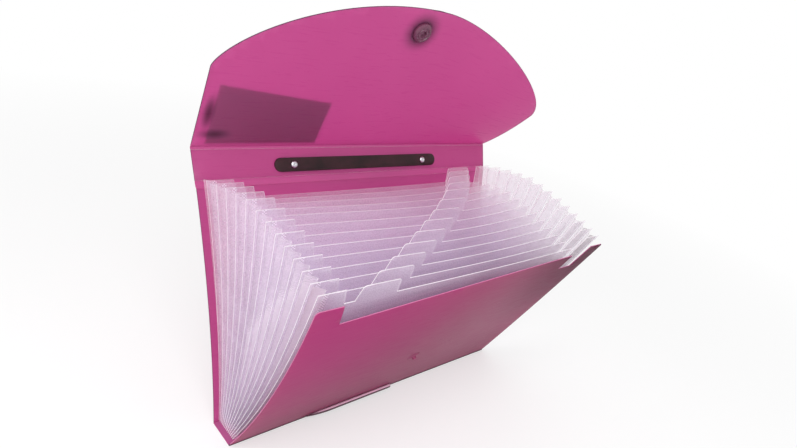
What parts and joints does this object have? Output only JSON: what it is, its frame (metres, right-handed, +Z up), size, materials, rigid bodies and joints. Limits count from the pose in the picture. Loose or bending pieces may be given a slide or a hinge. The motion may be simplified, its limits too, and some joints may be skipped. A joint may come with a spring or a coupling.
{
  "type": "expanding file folder",
  "caption": "Accordion file folder of translucent sheet, standing open on its spine: bowed covers, clear tabbed dividers joined by side pleats, raised half-moon flap with press stud and handle.",
  "frame": {"origin": "centre of the spine's underside", "axes": "+X along the spine to the right as seen from the front, +Y to the back panel's side, +Z up from the surface it stands on"},
  "size_m": [0.33, 0.2047, 0.371],
  "materials": {
    "cover": "translucent magenta polypropylene sheet, satin",
    "pale": "translucent magenta polypropylene, pressed thinner and paler",
    "film": "clear embossed polypropylene film",
    "dark": "dark brown-black moulded plastic",
    "metal": "nickel-plated, polished",
    "label": "blank sticker, dark"
  },
  "bodies": {
    "spine": {"spine_panel": "cover"},
    "back": {"back_panel": "cover", "lower_score_band": "pale"},
    "divider_01_body": {"divider_01": "film", "pleat_left_01": "film", "pleat_right_01": "film"},
    "divider_02_body": {"divider_02": "film", "pleat_left_02": "film", "pleat_right_02": "film"},
    "divider_03_body": {"divider_03": "film", "pleat_left_03": "film", "pleat_right_03": "film"},
    "divider_04_body": {"divider_04": "film", "pleat_left_04": "film", "pleat_right_04": "film"},
    "divider_05_body": {"divider_05": "film", "pleat_left_05": "film", "pleat_right_05": "film"},
    "divider_06_body": {"divider_06": "film", "pleat_left_06": "film", "pleat_right_06": "film"},
    "divider_07_body": {"divider_07": "film", "pleat_left_07": "film", "pleat_right_07": "film"},
    "divider_08_body": {"divider_08": "film", "pleat_left_08": "film", "pleat_right_08": "film"},
    "divider_09_body": {"divider_09": "film", "pleat_left_09": "film", "pleat_right_09": "film"},
    "divider_10_body": {"divider_10": "film", "pleat_left_10": "film", "pleat_right_10": "film"},
    "divider_11_body": {"divider_11": "film", "pleat_left_11": "film", "pleat_right_11": "film"},
    "divider_12_body": {"divider_12": "film", "pleat_left_12": "film", "pleat_right_12": "film"},
    "divider_13_body": {"divider_13": "film", "pleat_left_13": "film", "pleat_right_13": "film"},
    "front": {"front_panel": "cover", "front_stud": "pale", "front_grip_strip": "pale"},
    "strip": {"top_strip": "cover", "handle_backing_plate": "dark", "handle_strap": "dark", "rivet_left": "metal", "rivet_right": "metal", "upper_score_line": "pale"},
    "flap": {"flap": "cover", "flap_stud_cap": "pale", "flap_stud_socket": "pale", "blank_label": "label"}
  },
  "joints": [
    {"name": "front_crease", "type": "hinge", "parent": "spine", "child": "front", "pos_m": [0, -0.0156, 0.001], "axis": [1, 0, 0], "range_deg": [-25.5, 0]},
    {"name": "back_crease", "type": "hinge", "parent": "spine", "child": "back", "pos_m": [0, 0.0156, 0.001], "axis": [1, 0, 0], "range_deg": [0, 13.02]},
    {"name": "pocket_01", "type": "hinge", "parent": "back", "child": "divider_01_body", "pos_m": [0, 0.01337, 0.004], "axis": [1, 0, 0], "range_deg": [-2.52, 0], "deforming": ["pleat_left_01", "pleat_right_01"]},
    {"name": "pocket_02", "type": "hinge", "parent": "divider_01_body", "child": "divider_02_body", "pos_m": [0, 0.01114, 0.004], "axis": [1, 0, 0], "range_deg": [-3.85, 0], "deforming": ["pleat_left_02", "pleat_right_02"]},
    {"name": "pocket_03", "type": "hinge", "parent": "divider_02_body", "child": "divider_03_body", "pos_m": [0, 0.00891, 0.004], "axis": [1, 0, 0], "range_deg": [-3.69, 0], "deforming": ["pleat_left_03", "pleat_right_03"]},
    {"name": "pocket_04", "type": "hinge", "parent": "divider_03_body", "child": "divider_04_body", "pos_m": [0, 0.00669, 0.004], "axis": [1, 0, 0], "range_deg": [-3.52, 0], "deforming": ["pleat_left_04", "pleat_right_04"]},
    {"name": "pocket_05", "type": "hinge", "parent": "divider_04_body", "child": "divider_05_body", "pos_m": [0, 0.00446, 0.004], "axis": [1, 0, 0], "range_deg": [-3.35, 0], "deforming": ["pleat_left_05", "pleat_right_05"]},
    {"name": "pocket_06", "type": "hinge", "parent": "divider_05_body", "child": "divider_06_body", "pos_m": [0, 0.00223, 0.004], "axis": [1, 0, 0], "range_deg": [-3.19, 0], "deforming": ["pleat_left_06", "pleat_right_06"]},
    {"name": "pocket_07", "type": "hinge", "parent": "divider_06_body", "child": "divider_07_body", "pos_m": [0, 0, 0.004], "axis": [1, 0, 0], "range_deg": [-3.02, 0], "deforming": ["pleat_left_07", "pleat_right_07"]},
    {"name": "pocket_08", "type": "hinge", "parent": "divider_07_body", "child": "divider_08_body", "pos_m": [0, -0.00223, 0.004], "axis": [1, 0, 0], "range_deg": [-2.85, 0], "deforming": ["pleat_left_08", "pleat_right_08"]},
    {"name": "pocket_09", "type": "hinge", "parent": "divider_08_body", "child": "divider_09_body", "pos_m": [0, -0.00446, 0.004], "axis": [1, 0, 0], "range_deg": [-2.69, 0], "deforming": ["pleat_left_09", "pleat_right_09"]},
    {"name": "pocket_10", "type": "hinge", "parent": "divider_09_body", "child": "divider_10_body", "pos_m": [0, -0.00669, 0.004], "axis": [1, 0, 0], "range_deg": [-2.52, 0], "deforming": ["pleat_left_10", "pleat_right_10"]},
    {"name": "pocket_11", "type": "hinge", "parent": "divider_10_body", "child": "divider_11_body", "pos_m": [0, -0.00891, 0.004], "axis": [1, 0, 0], "range_deg": [-2.35, 0], "deforming": ["pleat_left_11", "pleat_right_11"]},
    {"name": "pocket_12", "type": "hinge", "parent": "divider_11_body", "child": "divider_12_body", "pos_m": [0, -0.01114, 0.004], "axis": [1, 0, 0], "range_deg": [-2.19, 0], "deforming": ["pleat_left_12", "pleat_right_12"]},
    {"name": "pocket_13", "type": "hinge", "parent": "divider_12_body", "child": "divider_13_body", "pos_m": [0, -0.01337, 0.004], "axis": [1, 0, 0], "range_deg": [-2.02, 0], "deforming": ["pleat_left_13", "pleat_right_13"]},
    {"name": "strip_crease", "type": "hinge", "parent": "back", "child": "strip", "pos_m": [0, 0.06441, 0.21244], "axis": [1, 0, 0], "range_deg": [-98, 10], "deforming": ["lower_score_band"]},
    {"name": "flap_crease", "type": "hinge", "parent": "strip", "child": "flap", "pos_m": [0, 0.0749, 0.2384], "axis": [1, 0, 0], "range_deg": [-30, 30], "deforming": ["upper_score_line"]}
  ],
  "couplings": [
    {"joint": "back_crease", "follows": "front_crease", "ratio": -0.5098},
    {"joint": "pocket_01", "follows": "front_crease", "ratio": 0.098039},
    {"joint": "pocket_02", "follows": "front_crease", "ratio": 0.15033},
    {"joint": "pocket_03", "follows": "front_crease", "ratio": 0.14379},
    {"joint": "pocket_04", "follows": "front_crease", "ratio": 0.13725},
    {"joint": "pocket_05", "follows": "front_crease", "ratio": 0.13072},
    {"joint": "pocket_06", "follows": "front_crease", "ratio": 0.12418},
    {"joint": "pocket_07", "follows": "front_crease", "ratio": 0.11765},
    {"joint": "pocket_08", "follows": "front_crease", "ratio": 0.11111},
    {"joint": "pocket_09", "follows": "front_crease", "ratio": 0.10458},
    {"joint": "pocket_10", "follows": "front_crease", "ratio": 0.098039},
    {"joint": "pocket_11", "follows": "front_crease", "ratio": 0.091503},
    {"joint": "pocket_12", "follows": "front_crease", "ratio": 0.084967},
    {"joint": "pocket_13", "follows": "front_crease", "ratio": 0.078431}
  ]
}
